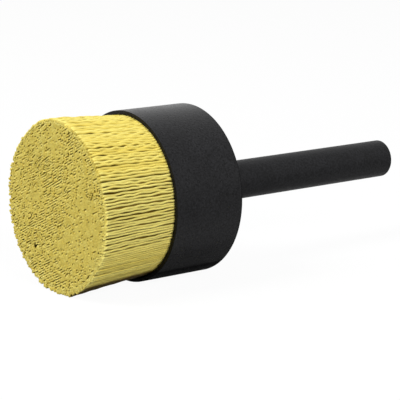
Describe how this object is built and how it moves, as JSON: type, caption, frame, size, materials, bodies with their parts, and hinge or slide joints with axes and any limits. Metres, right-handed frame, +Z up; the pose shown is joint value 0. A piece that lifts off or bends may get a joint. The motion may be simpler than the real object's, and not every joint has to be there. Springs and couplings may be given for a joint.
{
  "type": "end brush",
  "caption": "Round end brush: a dense, slightly flared bundle of stiff yellow filaments in a black cup on a plain round shank, for deburring in a drill or spindle.",
  "frame": {"origin": "centre of the shank's free end, on the tool's axis", "axes": "+X along the tool's axis, from the filament tips to the shank's free end; +Z up with the tool lying on its side"},
  "size_m": [0.1016, 0.041, 0.041],
  "materials": {
    "black_coating": "satin",
    "bonding_resin": "satin",
    "yellow_filament": "matte"
  },
  "bodies": {
    "root": {"shank": "black_coating", "holder": "black_coating", "resin_bed": "bonding_resin", "filament_core": "yellow_filament", "filament_ring_01": "yellow_filament", "filament_ring_02": "yellow_filament", "filament_ring_03": "yellow_filament", "filament_ring_04": "yellow_filament", "filament_ring_05": "yellow_filament", "filament_ring_06": "yellow_filament", "filament_ring_07": "yellow_filament", "filament_ring_08": "yellow_filament", "filament_ring_09": "yellow_filament", "filament_ring_10": "yellow_filament"}
  },
  "joints": []
}
